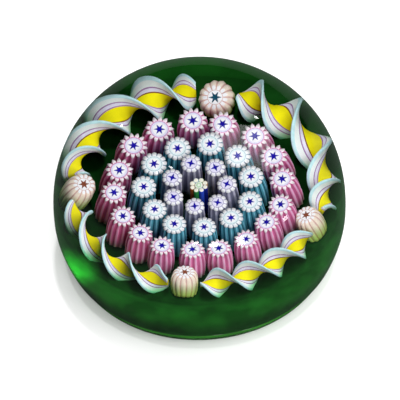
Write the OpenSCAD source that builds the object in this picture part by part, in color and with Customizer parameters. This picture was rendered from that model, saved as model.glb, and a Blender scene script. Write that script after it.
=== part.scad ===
// Millefiori paperweight. Rings of upright patterned glass canes and a border of twisted
// glass tapes stand on a translucent green ground, under a clear crystal dome.
// Millimetres, +Z up, with the origin at the centre of the flat ring it rests on.

/* [Body] */
// Diameter of the glass at its girth, the widest level
body_d = 72; // [70:0.5:80]
// Height from the base to the top of the dome
body_h = 48.8; // [46:0.2:56]
// Height of the girth above the base
girth_z = 12; // [11:0.5:14]
// Power of the crown's curve: 2 is a plain ellipse, more is squarer
crown_power = 2.3; // [2:0.05:2.5]
// Diameter of the foot, where the wall meets the flat ring
foot_d = 65; // [62:0.5:67]
// Height of the ground bevel round the foot
bevel_h = 3.5; // [2:0.1:5]
// Diameter of the wall at the top of that bevel
bevel_d = 68.4; // [67.5:0.1:69]

/* [Base] */
// Diameter of the polished hollow under the base
hollow_d = 48; // [30:1:56]
// Depth of that hollow
hollow_depth = 1.6; // [0.5:0.1:3]

/* [Green ground] */
// Thickness of the crystal casing at the top of the bevel
casing_t = 1; // [0.6:0.1:2]
// Height of the ground's shoulder round the cushion
shoulder_z = 9.6; // [8.4:0.1:9.8]
// Diameter of the cushion, the raised middle that carries the canes
cushion_d = 49.6; // [49:0.1:52]
// Height of the cushion at its edge
cushion_edge_z = 10.2; // [9.9:0.1:10.4]
// Height of the cushion at its centre
cushion_top_z = 11.4; // [10.8:0.1:11.6]
// Depth to which each cane is set into the cushion
seat_depth = 1; // [0.4:0.1:1.5]

/* [Canes] */
// Height of the centre cane's face
face_z = 17.2; // [16.5:0.1:18]
// How far a face 10 mm from the axis lies below the centre one
face_fall = 0.7; // [0.4:0.05:0.8]
// Inward lean of a cane in the rings, in degrees for each mm from the axis
lean_rate = 0.35; // [0:0.05:0.4]
// Diameter of the rod in the middle of the centre cluster
core_d = 1.4; // [1.2:0.05:1.45]
// Diameter of each of the eight rods round it
rod_d = 0.88; // [0.8:0.01:0.9]
// Radius of the circle that those rods stand on
rod_ring_r = 1.17; // [1.16:0.01:1.3]
// Angle of the brown rod round that circle, anticlockwise from the right
rod_first = 202; // [0:1:359]
// Diameter of the lavender canes of the inner ring
inner_d = 3.5; // [3:0.1:3.5]
// Radius of the inner ring
inner_r = 4.9; // [4.8:0.1:5]
// Diameter of the teal canes of the middle ring
middle_d = 4.3; // [3.6:0.1:4.3]
// Radius of the middle ring
middle_r = 9.3; // [9.2:0.1:9.5]
// Diameter of the pink canes of the outer ring
outer_d = 4.5; // [4:0.1:4.5]
// Radius of the outer ring
outer_r = 14.4; // [14.3:0.1:14.7]
// Most that a cane strays along its ring, in degrees
stray_turn = 1; // [0:0.1:1.2]
// Most that a cane strays off its ring's circle
stray_out = 0.2; // [0:0.05:0.2]
// Diameter of the four beige canes that stand in the border
border_d = 4.9; // [4.2:0.1:5.1]
// Distance of a border cane's face from the axis
border_r = 19.6; // [19.4:0.1:19.8]
// Inward lean of a border cane, in degrees
border_lean = 22; // [5:1:24]

/* [Twisted tapes] */
// Width of a tape
tape_w = 6.4; // [5:0.1:6.4]
// Thickness of a tape
tape_t = 1; // [0.6:0.1:1]
// Radius of the circle that the tapes follow
tape_r = 21.3; // [21.1:0.1:21.6]
// Height of a tape's middle line
tape_z = 12.8; // [12.8:0.1:13.4]
// Angle kept free on each side of a border cane, in degrees
tape_gap = 8.5; // [8:0.5:12]
// Stretch at each end over which a tape narrows, in degrees round the border
tape_taper = 10; // [4:1:20]
// Width of a tape's end, as a share of its full width
tape_end_share = 0.5; // [0.4:0.05:1]

/* [Hidden] */
$fn = 96;
crown_h = body_h - girth_z;
crown_steps = 30;
wall_steps = 8;
shoulder_steps = 8;
shoulder_power = 0.7; // below 1, the shoulder is fuller than an ellipse
cushion_steps = 6;
hollow_ball_r = (pow(hollow_d / 2, 2) + pow(hollow_depth, 2)) / (2 * hollow_depth);
rod_count = 8;
petals = 13;
petal_depth = 0.3;
lobes_middle = 13;
lobes_inner = 10;
lobe_depth = 0.16;
tape_step = 20; // turn of the tape between two sections, in degrees

// Canes in each ring, and the angle of the first one.
inner_count = 7;
inner_first = 104;
middle_count = 11;
middle_first = 110;
outer_count = 17;
outer_first = 114;
// The canes are set by hand, so each strays a little. Steps of these angles give uneven strays.
turn_step = 137;
out_step = 222;
border_at = [-15, 81, 167, 260];
rod_colours = ["saddlebrown", "seagreen", "royalblue", "midnightblue",
               "peru", "mediumseagreen", "cornflowerblue", "ivory"];

// Each tape runs anticlockwise from one border cane to the next. Its first section is turned
// by the first number, and it turns on by the second along its length, both in degrees. The
// third is how far, halfway along each half, the turning runs ahead of and behind an even twist.
tape_turns = [[-48, 823, 35], [-60, 820, 15], [-58, 717, 0], [-45, 735, 0]];

// Radius of the wall below the girth: a curve that ends on the bevel's upper edge.
function wall_r(z) =
    body_d / 2 - (body_d - bevel_d) / 2 * pow((girth_z - z) / (girth_z - bevel_h), 1.6);

// Point of the crown's curve, from the girth at 0 degrees to the apex at 90.
function crown_point(t) =
    [body_d / 2 * sqrt(1 - pow(sin(t), crown_power)), girth_z + crown_h * sin(t)];

function wall_points(z0, z1) =
    [for (i = [0 : wall_steps]) let (z = z0 + (z1 - z0) * i / wall_steps) [wall_r(z), z]];

function cushion_z(r) =
    cushion_top_z - (cushion_top_z - cushion_edge_z) * pow(2 * r / cushion_d, 2);

// The cushion's surface, from its edge to the axis.
cushion_points = [for (i = [cushion_steps : -1 : 0])
    let (r = cushion_d / 2 * i / cushion_steps) [r, cushion_z(r)]];

// The shoulder's surface, from the casing's foot to the cushion.
shoulder_points = [for (i = [0 : shoulder_steps])
    let (t = 90 * i / shoulder_steps, reach = bevel_d / 2 - casing_t - cushion_d / 2)
    [cushion_d / 2 + reach * pow(cos(t), shoulder_power),
     bevel_h + (shoulder_z - bevel_h) * pow(sin(t), shoulder_power)]];

// The surface between the ground and the crystal, from the casing's foot to the axis.
ground_top = concat(shoulder_points, cushion_points);

ground_outline = concat([[0, 0], [foot_d / 2, 0], [bevel_d / 2, bevel_h]], ground_top);

dome_outline = concat(
    wall_points(bevel_h, girth_z),
    [for (i = [1 : crown_steps]) crown_point(90 * i / crown_steps)],
    [for (i = [len(ground_top) - 1 : -1 : 0]) ground_top[i]]);

function cane_face_z(r) = face_z - face_fall * pow(r / 10, 2);

// Length of a cane from its face down to its seat in the cushion.
function cane_length(r) = cane_face_z(r) - cushion_z(r) + seat_depth;

// Pointed petals round a cane.
function petal_outline(d) = [for (i = [0 : 2 * petals - 1])
    let (r = d / 2 - petal_depth * (i % 2)) [r * cos(180 * i / petals), r * sin(180 * i / petals)]];

// Broad lobes round a cane, each with two shoulders and a groove.
function lobe_outline(d, lobes) = [for (i = [0 : 3 * lobes - 1])
    let (r = d / 2 - (i % 3 == 0 ? lobe_depth : 0), a = 120 * i / lobes) [r * cos(a), r * sin(a)]];

// A straight cane with its face at radius r and angle a, leaning towards the axis.
module cane(a, r, lean, outline) {
    rotate([0, 0, a]) translate([r, 0, cane_face_z(r)]) rotate([0, -lean, 0])
        translate([0, 0, -cane_length(r)]) linear_extrude(cane_length(r)) polygon(outline);
}

// Cane number i of a hand-set ring.
module ring_cane(i, count, first, radius, outline) {
    r = radius + stray_out * sin(out_step * (i + count));
    turn = first - 360 * i / count + stray_turn * sin(turn_step * (i + count));
    cane(turn, r, lean_rate * r, outline);
}

module inner_cane_at(i) {
    ring_cane(i, inner_count, inner_first, inner_r, lobe_outline(inner_d, lobes_inner));
}

module middle_cane_at(i) {
    ring_cane(i, middle_count, middle_first, middle_r, lobe_outline(middle_d, lobes_middle));
}

module outer_cane_at(i) {
    ring_cane(i, outer_count, outer_first, outer_r, petal_outline(outer_d));
}

module border_cane_at(i) {
    cane(border_at[i], border_r, border_lean, petal_outline(border_d));
}

module centre_post(d) {
    translate([0, 0, face_z - cane_length(0)]) cylinder(h = cane_length(0), d = d);
}

module centre_rod_at(i) {
    rotate([0, 0, rod_first + 360 * i / rod_count]) translate([rod_ring_r, 0, 0])
        centre_post(rod_d);
}

// Share of its full width that a tape has at the given distance from its nearer end, in degrees.
function tape_share(to_end) =
    1 - (1 - tape_end_share) * pow(1 - min(1, to_end / tape_taper), 2);

// Four corners of a tape's cross-section at angle a round the border, turned by t.
function tape_section(a, t, w) = [for (c = [[-1, -1], [1, -1], [1, 1], [-1, 1]])
    let (across = c[0] * w / 2, through = c[1] * tape_t / 2,
         r = tape_r + across * cos(t) + through * sin(t),
         z = tape_z - across * sin(t) + through * cos(t))
    [r * cos(a), r * sin(a), z]];

module tape_at(i) {
    a0 = border_at[i] + tape_gap;
    a1 = border_at[(i + 1) % 4] - tape_gap + (i == 3 ? 360 : 0);
    first = tape_turns[i][0];
    turn = tape_turns[i][1];
    sway = tape_turns[i][2];
    n = ceil(turn / tape_step);
    points = [for (s = [0 : n]) let (a = a0 + (a1 - a0) * s / n)
        each tape_section(a, first + turn * s / n + sway * sin(360 * s / n),
                          tape_w * tape_share(min(a - a0, a1 - a)))];
    sides = [for (s = [0 : n - 1], k = [0 : 3])
        let (p = 4 * s + k, q = 4 * s + (k + 1) % 4) each [[p, q, q + 4], [p, q + 4, p + 4]]];
    ends = [[3, 2, 1], [3, 1, 0], [4 * n, 4 * n + 1, 4 * n + 2], [4 * n, 4 * n + 2, 4 * n + 3]];
    polyhedron(points, concat(sides, ends));
}

// Everything that is sealed in the crystal and set into the ground.
module all_sealed() {
    for (i = [0 : len(tape_turns) - 1]) tape_at(i);
    centre_post(2 * rod_ring_r);
    for (i = [0 : rod_count - 1]) centre_rod_at(i);
    for (i = [0 : inner_count - 1]) inner_cane_at(i);
    for (i = [0 : middle_count - 1]) middle_cane_at(i);
    for (i = [0 : outer_count - 1]) outer_cane_at(i);
    for (i = [0 : len(border_at) - 1]) border_cane_at(i);
}

module crystal_dome() {
    color("lightcyan", 0.3) difference() {
        rotate_extrude() polygon(dome_outline);
        all_sealed();
    }
}

module green_ground() {
    color("darkgreen") difference() {
        rotate_extrude() polygon(ground_outline);
        translate([0, 0, hollow_depth - hollow_ball_r]) sphere(r = hollow_ball_r);
        all_sealed();
    }
}

module centre_core() { color("honeydew") centre_post(core_d); }

module centre_rod(i) { color(rod_colours[i]) centre_rod_at(i); }

module inner_cane(i) { color("thistle") inner_cane_at(i); }

module middle_cane(i) { color("cadetblue") middle_cane_at(i); }

module outer_cane(i) { color("hotpink") outer_cane_at(i); }

module border_cane(i) { color("wheat") border_cane_at(i); }

module twisted_tape(i) { color("gold") tape_at(i); }

crystal_dome();
green_ground();
centre_core();
for (i = [1 : rod_count])
    centre_rod(i - 1);
for (i = [1 : inner_count])
    inner_cane(i - 1);
for (i = [1 : middle_count])
    middle_cane(i - 1);
for (i = [1 : outer_count])
    outer_cane(i - 1);
for (i = [1 : len(border_at)])
    border_cane(i - 1);
for (i = [1 : len(tape_turns)])
    twisted_tape(i - 1);
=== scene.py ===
import math
import random

import bmesh
import bpy
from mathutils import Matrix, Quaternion, Vector


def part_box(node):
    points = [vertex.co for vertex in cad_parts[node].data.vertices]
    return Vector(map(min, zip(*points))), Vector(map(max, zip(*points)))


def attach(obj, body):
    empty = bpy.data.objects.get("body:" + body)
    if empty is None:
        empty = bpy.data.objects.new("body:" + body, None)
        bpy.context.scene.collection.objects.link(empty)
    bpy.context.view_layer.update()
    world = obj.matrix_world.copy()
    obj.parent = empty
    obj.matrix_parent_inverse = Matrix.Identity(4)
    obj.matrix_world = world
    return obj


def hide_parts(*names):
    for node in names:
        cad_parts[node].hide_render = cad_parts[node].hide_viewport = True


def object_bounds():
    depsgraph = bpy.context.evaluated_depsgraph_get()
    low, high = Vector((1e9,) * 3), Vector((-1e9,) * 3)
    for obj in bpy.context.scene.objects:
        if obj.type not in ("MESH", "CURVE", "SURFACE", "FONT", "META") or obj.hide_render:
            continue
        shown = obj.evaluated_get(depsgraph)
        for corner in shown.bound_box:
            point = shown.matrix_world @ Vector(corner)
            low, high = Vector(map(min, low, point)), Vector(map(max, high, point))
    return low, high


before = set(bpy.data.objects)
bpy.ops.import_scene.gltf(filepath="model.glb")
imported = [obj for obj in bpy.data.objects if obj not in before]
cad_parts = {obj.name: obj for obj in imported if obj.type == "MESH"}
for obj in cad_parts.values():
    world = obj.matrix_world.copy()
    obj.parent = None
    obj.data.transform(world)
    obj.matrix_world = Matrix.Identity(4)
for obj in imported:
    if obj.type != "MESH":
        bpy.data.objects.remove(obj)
cad_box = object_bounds()
MM = 0.001
TAU = 2 * math.pi

# The body's outline, as part.scad has it: a crown over a slightly undercut wall and a bevel.
INSIDE = 0.9995  # keeps the dome a hair inside the CAD body
BODY_R = INSIDE * (cad_box[1][0] - cad_box[0][0]) / 2
BODY_H = cad_box[1][2]
GIRTH_Z = 12 * MM
CROWN_POWER, WALL_POWER = 2.3, 1.6
BEVEL_R, BEVEL_H = 34.2 * MM, 3.5 * MM
FOOT_R = 32.5 * MM
CASING = 1 * MM  # crystal outside the ground's shoulder
SHOULDER_Z, SHOULDER_POWER = 9.6 * MM, 0.7
CUSHION_R, CUSHION_EDGE_Z = 24.8 * MM, 10.2 * MM
CUSHION_TOP_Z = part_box("green_ground")[1].z
HOLLOW_R, HOLLOW_DEPTH = 24 * MM, 1.6 * MM

# How finely the round bodies are cut.
COLUMNS = 256
WALL_STEPS, CROWN_STEPS, SHOULDER_STEPS, CUSHION_STEPS, HOLLOW_STEPS = 16, 120, 24, 24, 16


# ---------------------------------------------------------------- materials

# The ground's green light on what stands in it: the height where it starts, the height where
# it is full, and its tint.
GLOW = (12.6 * MM, 10.4 * MM, (0.36, 0.92, 0.40, 1))
BORDER_GLOW = (14.2 * MM, 11.0 * MM, (0.58, 0.96, 0.24, 1))
# Painted shade: the pink canes are darker towards the left, from the first X to the second.
LEFT_SHADE = (-4 * MM, -17 * MM, (0.80, 0.58, 0.64, 1))
# What the dome lets through of the lamps' light on its way to the floor.
DOME_SHADOW = (0.29, 0.31, 0.29)


def principled(name, colour, roughness=0.5, **inputs):
    """A new material and its Principled shader."""
    mat = bpy.data.materials.new(name)
    mat.use_nodes = True
    shader = mat.node_tree.nodes["Principled BSDF"]
    shader.inputs["Base Color"].default_value = (*colour, 1)
    shader.inputs["Roughness"].default_value = roughness
    for key, value in inputs.items():
        shader.inputs[key.replace("_", " ")].default_value = value
    return mat, shader


def link(mat, source, target):
    mat.node_tree.links.new(source, target)


def add(mat, kind, **values):
    """A new node of this kind; values fill its inputs by name."""
    node = mat.node_tree.nodes.new("ShaderNode" + kind)
    for key, value in values.items():
        node.inputs[key.replace("_", " ")].default_value = value
    return node


def streaks(mat, scale, stretch, detail=3.0):
    """Noise in the part's own space, drawn out by stretch."""
    mapping = add(mat, "Mapping", Scale=stretch)
    noise = add(mat, "TexNoise", Scale=scale, Detail=detail)
    link(mat, add(mat, "TexCoord").outputs["Object"], mapping.inputs["Vector"])
    link(mat, mapping.outputs["Vector"], noise.inputs["Vector"])
    return noise.outputs["Fac"]


def ramp(mat, factor, stops):
    """Colours between the stops, each (position, colour)."""
    node = add(mat, "ValToRGB")
    elements = node.color_ramp.elements
    while len(elements) < len(stops):
        elements.new(0.5)
    for element, (position, colour) in zip(elements, stops):
        element.position = position
        element.color = (*colour, 1)
    link(mat, factor, node.inputs["Fac"])
    return node.outputs["Color"]


def multiplied(mat, factor, a, b):
    """Colour a times colour b, as far as factor says; factor and b may be values or sockets."""
    node = add(mat, "Mix")
    node.data_type, node.blend_type = "RGBA", "MULTIPLY"
    for source, socket in ((factor, node.inputs[0]), (a, node.inputs[6]), (b, node.inputs[7])):
        if isinstance(source, bpy.types.NodeSocket):
            link(mat, source, socket)
        else:
            socket.default_value = source
    return node.outputs[2]


def position(mat, axis):
    """Position in the part along X, Y or Z, in metres."""
    parts = add(mat, "SeparateXYZ")
    link(mat, add(mat, "TexCoord").outputs["Object"], parts.inputs["Vector"])
    return parts.outputs[axis]


def drift(colour, spread):
    """Two stops, a little darker and a little lighter than colour."""
    return [(0.3, [c * (1 - spread) for c in colour]),
            (0.7, [min(1, c * (1 + spread)) for c in colour])]


def opal(name, colour, spread=0.12, scale=1400, stretch=(1, 1, 0.12), glow=GLOW, side=None):
    """Coloured glass sealed in crystal: faint drawn-out streaks, and painted green light from the
    ground on its foot. It has no gloss of its own. side is painted shade, darker towards the left."""
    mat, shader = principled(name, colour, 0.6, Specular_IOR_Level=0.0)
    tinted = ramp(mat, streaks(mat, scale, stretch), drift(colour, spread))
    tints = [("Z", *glow)]
    if side:
        tints.append(("X", *side))
    for axis, start, full, tint in tints:
        near = add(mat, "MapRange", From_Min=start, From_Max=full)
        near.interpolation_type = "SMOOTHSTEP"
        link(mat, position(mat, axis), near.inputs["Value"])
        tinted = multiplied(mat, near.outputs["Result"], tinted, tint)
    link(mat, tinted, shader.inputs["Base Color"])
    return mat


def passes_light(mat, shader):
    """Lamps light what is sealed in the crystal as if it cast no shadow there. A ray that
    enters it from outside is dimmed, so it still casts one on the floor."""
    path, geometry = add(mat, "LightPath"), add(mat, "NewGeometry")
    tone = add(mat, "Mix")
    tone.data_type = "RGBA"
    tone.inputs[6].default_value = (*DOME_SHADOW, 1)
    tone.inputs[7].default_value = (1, 1, 1, 1)
    link(mat, geometry.outputs["Backfacing"], tone.inputs[0])
    clear, mix = add(mat, "BsdfTransparent"), add(mat, "MixShader")
    link(mat, tone.outputs[2], clear.inputs["Color"])
    link(mat, path.outputs["Is Shadow Ray"], mix.inputs["Fac"])
    link(mat, shader.outputs["BSDF"], mix.inputs[1])
    link(mat, clear.outputs["BSDF"], mix.inputs[2])
    link(mat, mix.outputs["Shader"], mat.node_tree.nodes["Material Output"].inputs["Surface"])


def crystal():
    """Clear glass for the dome."""
    mat, shader = principled("clear_crystal", (1, 1, 1), 0.0, Transmission_Weight=1.0, IOR=1.5)
    passes_light(mat, shader)
    return mat


WHITE = opal("opal_white", (0.92, 0.93, 0.97), 0.05)
LILAC_WHITE = opal("lilac_white", (0.78, 0.76, 0.94), 0.05)
COBALT = opal("cobalt_blue", (0.015, 0.01, 0.34), 0.2)
# The pink canes carry painted shade on their left.
ROSE = opal("rose_pink", (0.56, 0.13, 0.30), 0.25, side=LEFT_SHADE)
PINK = opal("pink", (0.84, 0.30, 0.56), 0.18, side=LEFT_SHADE)
PALE_PINK = opal("pale_pink", (0.95, 0.52, 0.78), 0.12, side=LEFT_SHADE)
PETAL = opal("petal_white", (0.95, 0.88, 0.93), 0.04)
TEAL = opal("teal", (0.08, 0.34, 0.44), 0.3)
SKY = opal("sky_teal", (0.24, 0.66, 0.84), 0.2)
DEEP_TEAL = opal("deep_teal", (0.02, 0.10, 0.15), 0.3)
CYAN_WHITE = opal("cyan_white", (0.76, 0.90, 0.94), 0.05)
GREY_RING = opal("grey_ring", (0.30, 0.38, 0.48), 0.1)
MAUVE = opal("mauve", (0.36, 0.20, 0.42), 0.15)
LAVENDER = opal("lavender", (0.42, 0.40, 0.58), 0.2)
PALE_LAVENDER = opal("pale_lavender", (0.66, 0.64, 0.78), 0.1)
DUSK = opal("dusk_grey", (0.20, 0.20, 0.30), 0.2)
CREAM = opal("cream", (0.88, 0.76, 0.64), 0.08, glow=BORDER_GLOW)
BUFF = opal("buff_pink", (0.66, 0.42, 0.38), 0.15, glow=BORDER_GLOW)
BROWN = opal("brown", (0.22, 0.06, 0.03), 0.2)
NIGHT = opal("blue_green_night", (0.01, 0.07, 0.12), 0.2)
YELLOW = opal("canary_yellow", (0.90, 0.82, 0.01), 0.10, 260, (1, 1, 0.5))
ICE = opal("ice_blue", (0.58, 0.88, 0.94), 0.08)
TAPE_WHITE = opal("tape_white", (0.88, 0.97, 0.98), 0.04)


def ground_materials():
    """The ground's sealed top, banded by distance from the axis with painted shade, and its polished
    foot.
    """
    sealed, shader = principled("green_sealed", (0.01, 0.10, 0.02), 0.6, Specular_IOR_Level=0.0)
    flat, length = add(sealed, "VectorMath"), add(sealed, "VectorMath")
    flat.operation, length.operation = "MULTIPLY", "LENGTH"
    flat.inputs[1].default_value = (1 / BODY_R, 1 / BODY_R, 0)
    link(sealed, add(sealed, "TexCoord").outputs["Object"], flat.inputs[0])
    link(sealed, flat.outputs["Vector"], length.inputs[0])
    # Painted shade: near black between the canes, lighter further out, darker again at the rim.
    green_and_painted_shade = ramp(sealed, length.outputs["Value"], [
        (0.0, (0.002, 0.014, 0.004)), (0.47, (0.003, 0.026, 0.005)), (0.60, (0.004, 0.050, 0.006)),
        (0.68, (0.006, 0.060, 0.008)), (0.70, (0.007, 0.078, 0.009)),
        (0.80, (0.008, 0.098, 0.010)), (0.88, (0.008, 0.092, 0.009)), (0.94, (0.006, 0.055, 0.008))])
    cloud = ramp(sealed, streaks(sealed, 150, (1, 1, 1), 4.0), [(0.36, (0.50, 0.55, 0.50)),
                                                                (0.64, (1.25, 1.15, 1.1))])
    link(sealed, multiplied(sealed, 1.0, green_and_painted_shade, cloud), shader.inputs["Base Color"])
    foot, shader = principled("green_polished", (0.01, 0.10, 0.02), 0.08, IOR=1.5)
    swirl = ramp(foot, streaks(foot, 90, (1, 1, 1)), drift((0.020, 0.105, 0.014), 0.35))
    link(foot, swirl, shader.inputs["Base Color"])
    return sealed, foot


# ---------------------------------------------------------------- meshes

def finish_piece(name, bm, materials, nodes, smooth=True):
    """Turns bm into an object that rides on the part and stands for these CAD nodes."""
    bmesh.ops.recalc_face_normals(bm, faces=bm.faces)
    mesh = bpy.data.meshes.new(name)
    bm.to_mesh(mesh)
    bm.free()
    for mat in materials:
        mesh.materials.append(mat)
    for face in mesh.polygons:
        face.use_smooth = smooth
    piece = bpy.data.objects.new(name, mesh)
    bpy.context.scene.collection.objects.link(piece)
    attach(piece, "root")
    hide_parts(*nodes)
    return piece


def revolve(outline, columns, face_material=lambda row: 0):
    """A closed solid of revolution from (r, z) points that start and end on the axis."""
    bm = bmesh.new()
    rows = []
    for r, z in outline:
        if r == 0:
            rows.append([bm.verts.new((0, 0, z))])
        else:
            rows.append([bm.verts.new((r * math.cos(TAU * i / columns),
                                       r * math.sin(TAU * i / columns), z))
                         for i in range(columns)])
    for k, (a, b) in enumerate(zip(rows, rows[1:])):
        for i in range(columns):
            j = (i + 1) % columns
            ring = [a[i % len(a)], a[j % len(a)], b[j % len(b)], b[i % len(b)]]
            face = bm.faces.new(list(dict.fromkeys(ring)))
            face.material_index = face_material(k)
    return bm


def wall_r(z):
    """Radius of the wall between the bevel and the girth."""
    return BODY_R - (BODY_R - BEVEL_R) * ((GIRTH_Z - z) / (GIRTH_Z - BEVEL_H)) ** WALL_POWER


def wall(z0, z1, steps):
    return [(wall_r(z0 + (z1 - z0) * i / steps), z0 + (z1 - z0) * i / steps)
            for i in range(steps + 1)]


def crown(steps):
    """The crown's curve, from just above the girth to the apex."""
    points = []
    for i in range(1, steps):
        t = math.radians(90 * i / steps)
        points.append((BODY_R * math.sqrt(1 - math.sin(t) ** CROWN_POWER),
                       GIRTH_Z + (BODY_H - GIRTH_Z) * math.sin(t)))
    return points + [(0, BODY_H)]


def shoulder(steps):
    """The ground's rounded side inside the crystal, from the bevel up to the cushion."""
    reach = BEVEL_R - CASING - CUSHION_R
    points = []
    for i in range(steps + 1):
        t = math.radians(90 * i / steps)
        points.append((CUSHION_R + reach * max(0, math.cos(t)) ** SHOULDER_POWER,
                       BEVEL_H + (SHOULDER_Z - BEVEL_H) * math.sin(t) ** SHOULDER_POWER))
    return points


def cushion_z(r):
    """Height of the cushion at distance r from the axis."""
    return CUSHION_TOP_Z - (CUSHION_TOP_Z - CUSHION_EDGE_Z) * (r / CUSHION_R) ** 2


def cushion(steps):
    """The cushion from its edge to the axis."""
    radii = [CUSHION_R * (1 - i / steps) for i in range(steps)] + [0]
    return [(r, cushion_z(r)) for r in radii]


def build_dome(material):
    """The crystal, closed underneath just inside the ground."""
    hidden_z = BEVEL_H + CASING
    outline = ([(0, hidden_z), (CUSHION_R, hidden_z), (BEVEL_R - 2 * CASING, BEVEL_H)]
               + wall(BEVEL_H, GIRTH_Z, WALL_STEPS) + crown(CROWN_STEPS))
    bm = revolve(outline, COLUMNS)
    return finish_piece("dome", bm, [material], ["crystal_dome"])


def build_ground(sealed, polished):
    """The green ground: polished hollow and bevel below, sealed shoulder and cushion above."""
    ball_r = (HOLLOW_R ** 2 + HOLLOW_DEPTH ** 2) / (2 * HOLLOW_DEPTH)
    hollow = []
    for i in range(HOLLOW_STEPS + 1):
        r = HOLLOW_R * i / HOLLOW_STEPS
        hollow.append((r, HOLLOW_DEPTH - ball_r + math.sqrt(ball_r ** 2 - r ** 2)))
    lower = hollow + [(FOOT_R, 0), (BEVEL_R, BEVEL_H)]
    upper = shoulder(SHOULDER_STEPS) + cushion(CUSHION_STEPS)
    split = len(lower)
    bm = revolve(lower + upper, COLUMNS, lambda row: 0 if row >= split else 1)
    return finish_piece("ground", bm, [sealed, polished], ["green_ground"])


def star(theta, points, tip, valley):
    """Radius of a straight-sided star at angle theta."""
    half = math.pi / points
    off = abs((theta + half) % (2 * half) - half)
    return tip * valley * math.sin(half) / (valley * math.sin(half - off) + tip * math.sin(off))


END_SLOPE = 0.8  # the Z of a cane end's normal is beyond this, up or down


def cane_ends(node):
    """Centres of a CAD cane's face and foot, weighted by area, in metres."""
    ends = {1: [Vector(), 0.0], -1: [Vector(), 0.0]}
    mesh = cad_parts[node].data
    for face in mesh.polygons:
        if abs(face.normal.z) > END_SLOPE:
            end = ends[1 if face.normal.z > 0 else -1]
            end[0] += face.center * face.area
            end[1] += face.area
    return [ends[side][0] / ends[side][1] for side in (1, -1)]


# ---------------------------------------------------------------- canes

NOTCH_FROM = 0.8  # share of a cane's height where its notches start
GROOVE_POWER = 0.7  # below 1, so the grooves between lobes are narrow


def cane_mesh(kind, length, phase):
    """A cane with its foot at the origin and its patterned face at z = length."""
    bm = bmesh.new()
    lobes, per_lobe = kind["lobes"], kind["per_lobe"]
    columns = lobes * per_lobe
    R = kind["d"] / 2 * MM
    rings = kind["rings"]
    thetas = [TAU * i / columns for i in range(columns)]

    def lobe_share(i):
        """0 in the groove between two lobes, 1 at the middle of a lobe."""
        return 1 - abs(2 * (i % per_lobe) / per_lobe - 1)

    def point(theta, r, z):
        return bm.verts.new((r * math.cos(theta + phase), r * math.sin(theta + phase), z))

    rows, materials = [], []
    centre = bm.verts.new((0, 0, length + kind["rise"] * MM))
    for radius, material in rings:
        row = []
        for i, theta in enumerate(thetas):
            r = radius(theta, lobe_share(i))
            row.append(point(theta, r * R, length + kind["rise"] * MM * (1 - r * r)))
        rows.append(row)
        materials.append(material)
    for along, girth in kind["barrel"]:
        row = []
        for i, theta in enumerate(thetas):
            notch = kind["notch"] * max(0, along - NOTCH_FROM) / (1 - NOTCH_FROM)
            ridge = 1 - (kind["ridge"] + notch) * (1 - lobe_share(i) ** GROOVE_POWER)
            row.append(point(theta, girth * ridge * R, length * along))
        rows.append(row)
        materials.append(kind["side"])
    for i in range(columns):
        j = (i + 1) % columns
        face = bm.faces.new((centre, rows[0][i], rows[0][j]))
        face.material_index = kind["materials"].index(materials[0](i % per_lobe, 1))
        for k in range(len(rows) - 1):
            face = bm.faces.new((rows[k][i], rows[k + 1][i], rows[k + 1][j], rows[k][j]))
            depth = (k + 1 - len(rings)) / len(kind["barrel"])
            face.material_index = kind["materials"].index(materials[k + 1](i % per_lobe, depth))
    bm.faces.new(list(reversed(rows[-1]))).material_index = 0
    return bm


def plain(material):
    """One material all round."""
    return lambda column, depth: material


def by_column(*materials):
    """One material for each column across a lobe, from groove to groove."""
    return lambda column, depth: materials[column]


# A cane's side below its face: the share of its height and of its radius at each ring.
BARREL = ((0.975, 0.90), (0.92, 0.96), (0.82, 1.01), (0.66, 1.05), (0.48, 1.06),
          (0.30, 1.03), (0.15, 0.97), (0.0, 0.90))


# Outlines: the radius, as a share of the cane's, at an angle and a place across a lobe.

def pointed(depth):
    return lambda theta, share: 1 - depth * (1 - share) ** 1.3


def rounded(depth):
    return lambda theta, share: 1 - depth * (1 - math.sqrt(1 - (1 - share) ** 2))


def star_of(points, tip, valley):
    return lambda theta, share: star(theta, points, tip, valley)


def circle_at(r):
    return lambda theta, share: r


def hem(inner, outer):
    """A ring's edge that runs in and out with the lobes."""
    return lambda theta, share: inner + (outer - inner) * share


OUTER = {
    "d": 4.7, "lobes": 13, "per_lobe": 8, "rise": 0.12, "ridge": 0.12, "notch": 0.18,
    "barrel": BARREL,
    "rings": [(star_of(6, 0.42, 0.16), plain(COBALT)),
              (circle_at(0.45), plain(WHITE)),
              (circle_at(0.58), plain(LILAC_WHITE)),
              (hem(0.60, 0.62), plain(MAUVE)),
              (hem(0.65, 0.68), plain(PALE_PINK)),
              (pointed(0.33), by_column(ROSE, PETAL, PETAL, PETAL, PETAL, PETAL, PETAL, ROSE))],
    "side": by_column(ROSE, ROSE, PINK, PALE_PINK, PALE_PINK, PINK, ROSE, ROSE),
    "materials": [COBALT, WHITE, LILAC_WHITE, MAUVE, PETAL, PINK, ROSE, PALE_PINK],
}
MIDDLE = {
    "d": 4.4, "lobes": 13, "per_lobe": 8, "rise": 0.12, "ridge": 0.09, "notch": 0.0,
    "barrel": BARREL,
    "rings": [(star_of(6, 0.42, 0.16), plain(COBALT)),
              (circle_at(0.45), plain(WHITE)),
              (circle_at(0.58), plain(CYAN_WHITE)),
              (hem(0.605, 0.62), plain(GREY_RING)),
              (circle_at(0.68), plain(CYAN_WHITE)),
              (rounded(0.16), by_column(GREY_RING, WHITE, WHITE, WHITE, WHITE, WHITE, WHITE,
                                        GREY_RING))],
    "side": by_column(DEEP_TEAL, TEAL, TEAL, SKY, SKY, TEAL, TEAL, DEEP_TEAL),
    "materials": [COBALT, WHITE, CYAN_WHITE, GREY_RING, SKY, TEAL, DEEP_TEAL],
}
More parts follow.
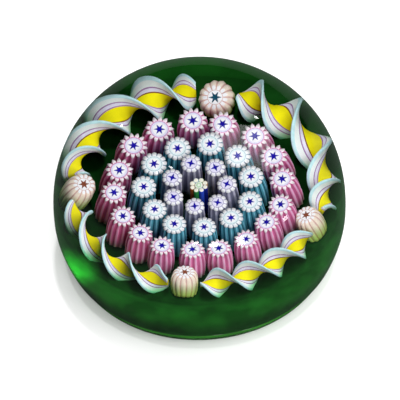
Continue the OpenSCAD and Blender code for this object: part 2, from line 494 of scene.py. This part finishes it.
INNER = {
    "d": 3.5, "lobes": 10, "per_lobe": 8, "rise": 0.10, "ridge": 0.08, "notch": 0.0,
    "barrel": BARREL,
    "rings": [(star_of(4, 0.50, 0.17), plain(COBALT)),
              (circle_at(0.54), plain(LILAC_WHITE)),
              (hem(0.60, 0.63), plain(LAVENDER)),
              (rounded(0.16), by_column(LAVENDER, WHITE, WHITE, WHITE, WHITE, WHITE, WHITE,
                                        LAVENDER))],
    "side": by_column(DUSK, DUSK, LAVENDER, PALE_LAVENDER, PALE_LAVENDER, LAVENDER,
                      DUSK, DUSK),
    "materials": [COBALT, LILAC_WHITE, LAVENDER, WHITE, DUSK, PALE_LAVENDER],
}


def border_kind(heart):
    """A beige cane, wider in the body than across its face."""
    return {
        "d": 4.7, "lobes": 13, "per_lobe": 8, "rise": 0.15, "ridge": 0.08, "notch": 0.0,
        "barrel": ((0.97, 0.92), (0.90, 1.03), (0.80, 1.10), (0.64, 1.14), (0.46, 1.14),
                   (0.28, 1.10), (0.12, 1.02), (0.0, 0.92)),
        "rings": [(star_of(6, 0.44, 0.17), plain(heart)),
                  (circle_at(0.47), plain(WHITE)),
                  (hem(0.49, 0.51), plain(BUFF)),
                  (hem(0.66, 0.84), by_column(BUFF, WHITE, WHITE, WHITE, WHITE, WHITE, WHITE,
                                              BUFF))],
        "side": by_column(BUFF, CREAM, CREAM, CREAM, CREAM, CREAM, CREAM, BUFF),
        "materials": [heart, WHITE, BUFF, CREAM],
    }


FACE_LEVEL = 0.9  # how far a leaning cane's face turns back towards level
FACE_TIP = math.radians(9)  # and how far it is tipped towards the front


def build_cane(name, node, kind, phase):
    """A cane of this kind where the CAD has its node; phase turns its pattern."""
    face, foot = cane_ends(node)
    axis = face - foot
    bm = cane_mesh(kind, axis.length, phase)
    turn = Vector((0, 0, 1)).rotation_difference(axis)
    for vert in bm.verts:
        across = Vector((vert.co.x, vert.co.y, 0))
        up = min(1, vert.co.z / axis.length)
        bend = (Quaternion((1, 0, 0), FACE_TIP * up ** 2)
                @ Quaternion().slerp(turn, 1 - FACE_LEVEL * up ** 2))
        vert.co = foot + axis * (vert.co.z / axis.length) + bend @ across
    return finish_piece(name, bm, kind["materials"], [node])


def build_rods():
    """The eight rods of the centre cluster and the core they stand round."""
    sides = [opal(f"rod_{name}", colour, 0.15) for name, colour in (
        ("brown", (0.30, 0.08, 0.02)), ("green", (0.03, 0.30, 0.07)),
        ("blue", (0.03, 0.08, 0.62)), ("navy", (0.01, 0.02, 0.26)),
        ("tan", (0.62, 0.36, 0.16)), ("mint", (0.36, 0.66, 0.40)),
        ("sky", (0.36, 0.58, 0.80)), ("ivory", (0.85, 0.78, 0.60)))]
    top = opal("rod_cream", (0.90, 0.88, 0.76), 0.05)
    barrel = ((0.985, 1.0), (0.95, 1.02), (0.5, 1.0), (0.0, 1.0))
    for i, side in enumerate(sides, 1):
        kind = {"d": 0.88, "lobes": 6, "per_lobe": 4, "rise": 0.08, "ridge": 0.0, "notch": 0.0,
                "barrel": barrel,
                "rings": [(circle_at(0.6), plain(top)), (circle_at(0.86), plain(top)),
                          (circle_at(0.96), plain(side))],
                "side": plain(side), "materials": [top, side]}
        build_cane(f"rod_{i}", f"centre_rod_{i}", kind, 0)
    mint, pale = opal("core_mint", (0.45, 0.72, 0.45), 0.1), opal("core_white", (0.86, 0.90, 0.82))
    kind = {"d": 1.4, "lobes": 5, "per_lobe": 8, "rise": 0.06, "ridge": 0.0, "notch": 0.0,
            "barrel": barrel,
            "rings": [(hem(0.2, 0.45), plain(pale)), (hem(0.5, 0.75), plain(mint)),
                      (circle_at(0.95), plain(pale))],
            "side": plain(mint), "materials": [pale, mint]}
    build_cane("core", "centre_core", kind, 0)


# ---------------------------------------------------------------- tapes

TAPE_R, TAPE_Z = 21.3 * MM, 12.8 * MM
TAPE_W, TAPE_T = 6.4 * MM, 1.0 * MM
TAPE_GAP, TAPE_TAPER = 8.5, 10  # degrees round the border
TAPE_END_SHARE, TAPE_EDGE_SHARE = 0.5, 0.35  # width of an end, thickness of an edge
TAPE_STEP = 5  # turn of a tape between two sections, in degrees
BORDER_AT = (-15, 81, 167, 260, 345)  # the last is the first one again
# For each tape, as in part.scad: the turn of its first section, its further turn, its sway.
TAPE_TURNS = ((-48, 823, 35), (-60, 820, 15), (-58, 717, 0), (-45, 735, 0))

# Bands across a tape, as the share of its half width where each one ends.
TAPE_BANDS = ((-0.84, ICE), (-0.56, TAPE_WHITE), (-0.50, MAUVE), (-0.34, LILAC_WHITE),
              (-0.28, BROWN), (0.40, YELLOW), (0.46, MAUVE), (0.60, LILAC_WHITE),
              (0.65, MAUVE), (0.86, TAPE_WHITE), (1.0, ICE))


def build_tape(i):
    """Tape i from one border cane to the next, turning as it goes."""
    start, end = BORDER_AT[i] + TAPE_GAP, BORDER_AT[i + 1] - TAPE_GAP
    first, turn, sway = TAPE_TURNS[i]
    steps = int(turn / TAPE_STEP)
    across = [-1.0] + [edge for edge, _ in TAPE_BANDS]
    materials = list(dict.fromkeys(material for _, material in TAPE_BANDS))
    bm = bmesh.new()
    rows = []
    for s in range(steps + 1):
        a = start + (end - start) * s / steps
        t = math.radians(first + turn * s / steps + sway * math.sin(TAU * s / steps))
        to_end = min(1, min(a - start, end - a) / TAPE_TAPER)
        half = TAPE_W / 2 * (1 - (1 - TAPE_END_SHARE) * (1 - to_end) ** 2)
        a = math.radians(a)
        row = []
        for side in (1, -1):
            for u in (across if side > 0 else across[::-1]):
                lens = TAPE_EDGE_SHARE + (1 - TAPE_EDGE_SHARE) * math.sqrt(1 - min(1, u * u))
                thick = TAPE_T / 2 * lens * side
                r = TAPE_R + u * half * math.cos(t) + thick * math.sin(t)
                z = TAPE_Z - u * half * math.sin(t) + thick * math.cos(t)
                row.append(bm.verts.new((r * math.cos(a), r * math.sin(a), z)))
        rows.append(row)
    n = len(across)
    for a, b in zip(rows, rows[1:]):
        for k in range(2 * n):
            face = bm.faces.new((a[k], a[(k + 1) % (2 * n)], b[(k + 1) % (2 * n)], b[k]))
            band = k if k < n - 1 else 2 * n - 2 - k
            band = min(max(band, 0), n - 2)
            face.material_index = materials.index(TAPE_BANDS[band][1])
    for row in (rows[0], rows[-1]):
        for k in range(n - 1):
            face = bm.faces.new((row[k], row[k + 1], row[2 * n - 2 - k], row[2 * n - 1 - k]))
            face.material_index = materials.index(TAPE_BANDS[k][1])
    node = f"twisted_tape_{i + 1}"
    return finish_piece(f"tape_{i + 1}", bm, materials, [node])


# ---------------------------------------------------------------- the object

build_dome(crystal())
build_ground(*ground_materials())
PATTERN_SEED = 11  # the canes' patterns are turned at random
chance = random.Random(PATTERN_SEED)
for group, count, kind in (("inner_cane", 7, INNER), ("middle_cane", 11, MIDDLE),
                           ("outer_cane", 17, OUTER)):
    for i in range(1, count + 1):
        node = f"{group}_{i}"
        build_cane(node.replace("_cane", ""), node, kind, chance.uniform(0, TAU))
for i in range(1, 5):
    node = f"border_cane_{i}"
    kind = border_kind(NIGHT if i == 2 else BROWN)
    build_cane(f"border_{i}", node, kind, chance.uniform(0, TAU))
build_rods()
for i in range(4):
    build_tape(i)


# ---------------------------------------------------------------- the studio

FLOOR_GAP = 0.05 * MM  # keeps the floor out of the plane of the foot
FLOOR_HALF = 1.5
FLOOR_WHITE = (0.92, 0.92, 0.92)
FLOOR_MIRRORED = (0.055, 0.075, 0.060)  # as the crystal's gloss shows it
ROOM_LIGHT = 0.68
# The camera's elevation, lens and shift come from a fit to the photograph's outline.
CAMERA_ELEVATION, CAMERA_ROLL = 45.1, -2.5  # degrees
CAMERA_DISTANCE, CAMERA_TARGET_Z = 11 * BODY_R, 0.45 * BODY_R
SENSOR, LENS = 36, 145  # millimetres, as Blender takes them
SHIFT = (0.002, -0.011)  # sets the part where it stands in the photograph

# Soft lamps: name, azimuth and elevation in degrees, distance and size in metres, the light
# that they add, and whether they can be seen in the crystal. The directions of the windows and
# the glints are a scratch script's results: it traced the photograph's reflections off the dome.
LAMPS = (
    ("overhead", 78, 77, 1.2, (0.08, 0.08), 0.40, False),
    ("key", -35, 50, 1.0, (0.5, 0.5), 0.30, False),
    ("fill", -72, 26, 1.2, (0.5, 0.35), 0.26, False),
    ("haze", 13, 57, 0.9, (0.55, 0.55), 0.20, True),
    ("window_1", -81, 12.5, 1.5, (0.16, 0.11), 0.026, True),
    ("window_2", -61, 10, 1.5, (0.16, 0.20), 0.034, True),
    ("window_3", -94, 15, 1.5, (0.10, 0.05), 0.010, True),
    ("window_4", -24, 6, 1.5, (0.10, 0.08), 0.012, True),
)
GLINTS = (
    ("glint_1", -151, 69, 1.2, (0.05, 0.04), 0.006, True),
    ("glint_2", -157, 59, 1.2, (0.03, 0.03), 0.003, True),
    ("glint_3", 45, 40, 1.2, (0.05, 0.04), 0.006, True),
    ("glint_4", 138, 31, 1.2, (0.03, 0.03), 0.003, True),
)
# The green patch on the ground: where it lies, where its spot lamp stands from there, the
# spot's spread in degrees, its light and its colour.
PATCH_AT = Vector((-25.5, -12.2, 7.2)) * MM
PATCH_LAMP_FROM = Vector((-0.06, -0.03, 0.09))
PATCH_SPREAD, PATCH_LIGHT, PATCH_COLOUR = 6, 8.0, (0.35, 1, 0.45)


def aim(obj, target, roll=0.0):
    """Points obj's -Z at target, then rolls it about that line."""
    direction = Vector(target) - obj.location
    obj.rotation_mode = "QUATERNION"
    obj.rotation_quaternion = direction.to_track_quat("-Z", "Y") @ Quaternion((0, 0, 1), roll)


def panel(name, azimuth, elevation, distance, size, light, reflected):
    """A rectangular lamp, aimed at the part from this azimuth and elevation."""
    az, el = math.radians(azimuth), math.radians(elevation)
    towards = Vector((math.cos(el) * math.cos(az), math.cos(el) * math.sin(az), math.sin(el)))
    data = bpy.data.lights.new(name, "AREA")
    data.shape = "RECTANGLE"
    data.size, data.size_y = size
    data.energy = 4 * math.pi * distance ** 2 * light
    lamp = bpy.data.objects.new(name, data)
    target = Vector((0, 0, BODY_H / 2))
    lamp.location = target + towards * distance
    lamp.visible_glossy = lamp.visible_transmission = reflected
    lamp.visible_camera = False
    aim(lamp, target)
    bpy.context.scene.collection.objects.link(lamp)


def light_patch():
    """A narrow green spot: light that the crystal gathers on one side of the ground."""
    data = bpy.data.lights.new("left_glow", "SPOT")
    data.spot_size = math.radians(PATCH_SPREAD)
    data.spot_blend = 1.0
    data.shadow_soft_size = 2 * MM
    data.color = PATCH_COLOUR
    lamp = bpy.data.objects.new("left_glow", data)
    lamp.location = PATCH_AT + PATCH_LAMP_FROM
    data.energy = 4 * math.pi ** 2 * PATCH_LAMP_FROM.length ** 2 * PATCH_LIGHT
    lamp.visible_glossy = lamp.visible_transmission = lamp.visible_camera = False
    aim(lamp, PATCH_AT)
    bpy.context.scene.collection.objects.link(lamp)


def dim_in_reflections(mat, shader):
    """The floor shows little in the crystal's gloss, as through a polarising filter, and
    fully through the crystal."""
    path, mirrored, mix = add(mat, "LightPath"), add(mat, "Math"), add(mat, "MixShader")
    mirrored.operation, mirrored.use_clamp = "SUBTRACT", True
    dim = add(mat, "BsdfDiffuse", Color=(*FLOOR_MIRRORED, 1))
    link(mat, path.outputs["Is Glossy Ray"], mirrored.inputs[0])
    link(mat, path.outputs["Is Transmission Ray"], mirrored.inputs[1])
    link(mat, mirrored.outputs["Value"], mix.inputs["Fac"])
    link(mat, shader.outputs["BSDF"], mix.inputs[1])
    link(mat, dim.outputs["BSDF"], mix.inputs[2])
    link(mat, mix.outputs["Shader"], mat.node_tree.nodes["Material Output"].inputs["Surface"])


def build_floor():
    """A plain white floor."""
    bm = bmesh.new()
    bm.faces.new([bm.verts.new((x * FLOOR_HALF, y * FLOOR_HALF, -FLOOR_GAP)) for x, y in
                  ((-1, -1), (1, -1), (1, 1), (-1, 1))])
    mesh = bpy.data.meshes.new("floor")
    bm.to_mesh(mesh)
    bm.free()
    mat, shader = principled("floor_white", FLOOR_WHITE, 0.8, Specular_IOR_Level=0.1)
    link(mat, ramp(mat, streaks(mat, 40, (1, 1, 1)), drift(FLOOR_WHITE, 0.01)),
         shader.inputs["Base Color"])
    dim_in_reflections(mat, shader)
    mesh.materials.append(mat)
    floor = bpy.data.objects.new("floor", mesh)
    bpy.context.scene.collection.objects.link(floor)


def build_camera():
    """The photograph's view: 45 degrees down on the front, through a long lens."""
    data = bpy.data.cameras.new("camera")
    data.sensor_width, data.lens = SENSOR, LENS
    data.shift_x, data.shift_y = SHIFT
    data.clip_start, data.clip_end = 0.01, 20
    camera = bpy.data.objects.new("camera", data)
    elevation = math.radians(CAMERA_ELEVATION)
    target = Vector((0, 0, CAMERA_TARGET_Z))
    towards = Vector((0, -math.cos(elevation), math.sin(elevation)))
    camera.location = target + CAMERA_DISTANCE * towards
    aim(camera, target, math.radians(CAMERA_ROLL))
    bpy.context.scene.collection.objects.link(camera)
    bpy.context.scene.camera = camera


def light_room():
    """Even light from all round, which the gloss doesn't show, and the lamps."""
    world = bpy.data.worlds.new("room")
    bpy.context.scene.world = world
    world.use_nodes = True
    world.node_tree.nodes["Background"].inputs["Color"].default_value = (1, 1, 1, 1)
    world.node_tree.nodes["Background"].inputs["Strength"].default_value = ROOM_LIGHT
    world.cycles_visibility.glossy = False
    for lamp in LAMPS:
        panel(*lamp)
    light_patch()
    for lamp in GLINTS:
        panel(*lamp)


build_floor()
build_camera()
light_room()
scene = bpy.context.scene
scene.view_settings.view_transform = "Standard"
scene.cycles.use_denoising = True
scene.cycles.use_adaptive_sampling = False
scene.cycles.max_bounces = 16
scene.cycles.transmission_bounces = 12
scene.cycles.transparent_max_bounces = 16
scene.cycles.caustics_refractive = False
scene.cycles.caustics_reflective = False
